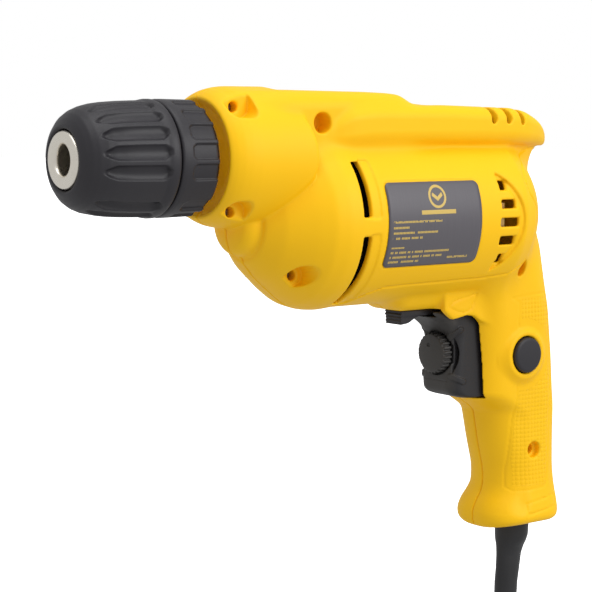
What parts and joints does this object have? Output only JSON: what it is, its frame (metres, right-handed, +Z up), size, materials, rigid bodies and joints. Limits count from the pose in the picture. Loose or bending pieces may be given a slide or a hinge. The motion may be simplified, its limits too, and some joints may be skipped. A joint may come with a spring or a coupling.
{
  "type": "electric drill",
  "caption": "Corded pistol-grip electric drill with a keyless chuck, variable-speed trigger, direction lever and a stored mains lead.",
  "frame": {"origin": "middle of the grip, on the plane where the two housing shells part", "axes": "+X from the chuck back towards the tail, parallel to the spindle; +Z up; +Y to the right-hand shell"},
  "size_m": [0.2338, 0.068, 0.378],
  "materials": {
    "housing_yellow": "satin moulded nylon",
    "black_plastic": "satin moulded plastic",
    "black_rubber": "matt PVC",
    "label_grey": "printed film with gold rules",
    "steel": "turned steel",
    "dark_steel": "dark hardened or laminated steel",
    "copper": "enamelled copper",
    "brass": "plain",
    "bronze": "sintered",
    "zinc": "die cast",
    "carbon": "pressed graphite",
    "tie_fabric": "woven strap"
  },
  "bodies": {
    "housing": {"left_housing": "housing_yellow", "right_housing": "housing_yellow", "nameplate": "label_grey", "spindle_front_bearing": "steel", "spindle_rear_bush": "bronze", "gear_plate": "zinc", "armature_front_bearing": "steel", "armature_rear_bearing": "steel", "stator_core": "dark_steel", "field_coil_upper": "copper", "field_coil_lower": "copper", "fan_baffle": "black_plastic", "brush_holder_right": "brass", "brush_right": "carbon", "brush_spring_right": "steel", "brush_holder_left": "brass", "brush_left": "carbon", "brush_spring_left": "steel", "switch_body": "black_plastic", "trigger_spring": "steel", "lock_spring": "steel", "strain_relief": "black_rubber", "inner_lead": "black_rubber", "cord_clamp": "black_plastic", "clamp_screw_1": "steel", "clamp_screw_2": "steel", "mains_lead": "black_rubber", "stored_coil": "black_rubber", "cord_tie": "tie_fabric", "plug_lead": "black_rubber", "plug_body": "black_rubber", "plug_pin_1": "brass", "plug_pin_2": "brass", "housing_screw_1": "dark_steel", "housing_screw_2": "dark_steel", "housing_screw_3": "dark_steel", "housing_screw_4": "dark_steel", "housing_screw_5": "dark_steel", "housing_screw_6": "dark_steel"},
    "spindle_assembly": {"spindle": "steel", "spindle_gear": "dark_steel", "chuck_body": "steel", "chuck_rear_sleeve": "black_plastic", "chuck_screw": "steel"},
    "front_sleeve": {"chuck_front_sleeve": "black_plastic", "jaw_nut": "dark_steel"},
    "jaw_1": {"jaw_1": "dark_steel"},
    "jaw_2": {"jaw_2": "dark_steel"},
    "jaw_3": {"jaw_3": "dark_steel"},
    "armature": {"armature_shaft": "steel", "rotor_core": "dark_steel", "armature_windings": "copper", "commutator": "copper", "cooling_fan": "black_plastic"},
    "trigger": {"trigger": "black_plastic"},
    "speed_dial": {"speed_dial": "black_plastic"},
    "lock_button": {"lock_button": "black_plastic"},
    "direction_lever": {"direction_lever": "black_plastic"}
  },
  "joints": [
    {"name": "chuck_spin", "type": "hinge", "parent": "housing", "child": "spindle_assembly", "pos_m": [-0.213, 0, 0.11], "axis": [1, 0, 0], "continuous": true},
    {"name": "armature_spin", "type": "hinge", "parent": "housing", "child": "armature", "pos_m": [-0.087, 0, 0.0856], "axis": [1, 0, 0], "continuous": true},
    {"name": "sleeve_turn", "type": "hinge", "parent": "spindle_assembly", "child": "front_sleeve", "pos_m": [-0.193, 0, 0.11], "axis": [1, 0, 0], "range_deg": [0, 4264]},
    {"name": "jaw_1_slide", "type": "slide", "parent": "spindle_assembly", "child": "jaw_1", "axis": [-0.9659, 0, -0.2588], "range_m": [0, 0.0178]},
    {"name": "jaw_2_slide", "type": "slide", "parent": "spindle_assembly", "child": "jaw_2", "axis": [-0.9659, 0.2241, 0.1294], "range_m": [0, 0.0178]},
    {"name": "jaw_3_slide", "type": "slide", "parent": "spindle_assembly", "child": "jaw_3", "axis": [-0.9659, -0.2241, 0.1294], "range_m": [0, 0.0178]},
    {"name": "trigger_pull", "type": "slide", "parent": "housing", "child": "trigger", "axis": [1, 0, 0], "range_m": [0, 0.0065], "stiffness_N_per_m": 800, "springref_m": -0.004, "deforming": ["trigger_spring"]},
    {"name": "dial_turn", "type": "hinge", "parent": "trigger", "child": "speed_dial", "pos_m": [-0.0454, 0, 0.0295], "axis": [1, 0, 0], "range_deg": [-135, 135]},
    {"name": "lock_press", "type": "slide", "parent": "housing", "child": "lock_button", "axis": [0, 1, 0], "range_m": [0, 0.003], "stiffness_N_per_m": 500, "springref_m": -0.002, "deforming": ["lock_spring"]},
    {"name": "lever_swing", "type": "hinge", "parent": "housing", "child": "direction_lever", "pos_m": [-0.035, 0, 0.048], "axis": [0, 0, 1], "range_deg": [-12, 12]}
  ],
  "couplings": [
    {"joint": "armature_spin", "follows": "chuck_spin", "ratio": -6.625},
    {"joint": "jaw_1_slide", "follows": "sleeve_turn", "m_per_rad": 0.00023873},
    {"joint": "jaw_2_slide", "follows": "sleeve_turn", "m_per_rad": 0.00023873},
    {"joint": "jaw_3_slide", "follows": "sleeve_turn", "m_per_rad": 0.00023873}
  ]
}
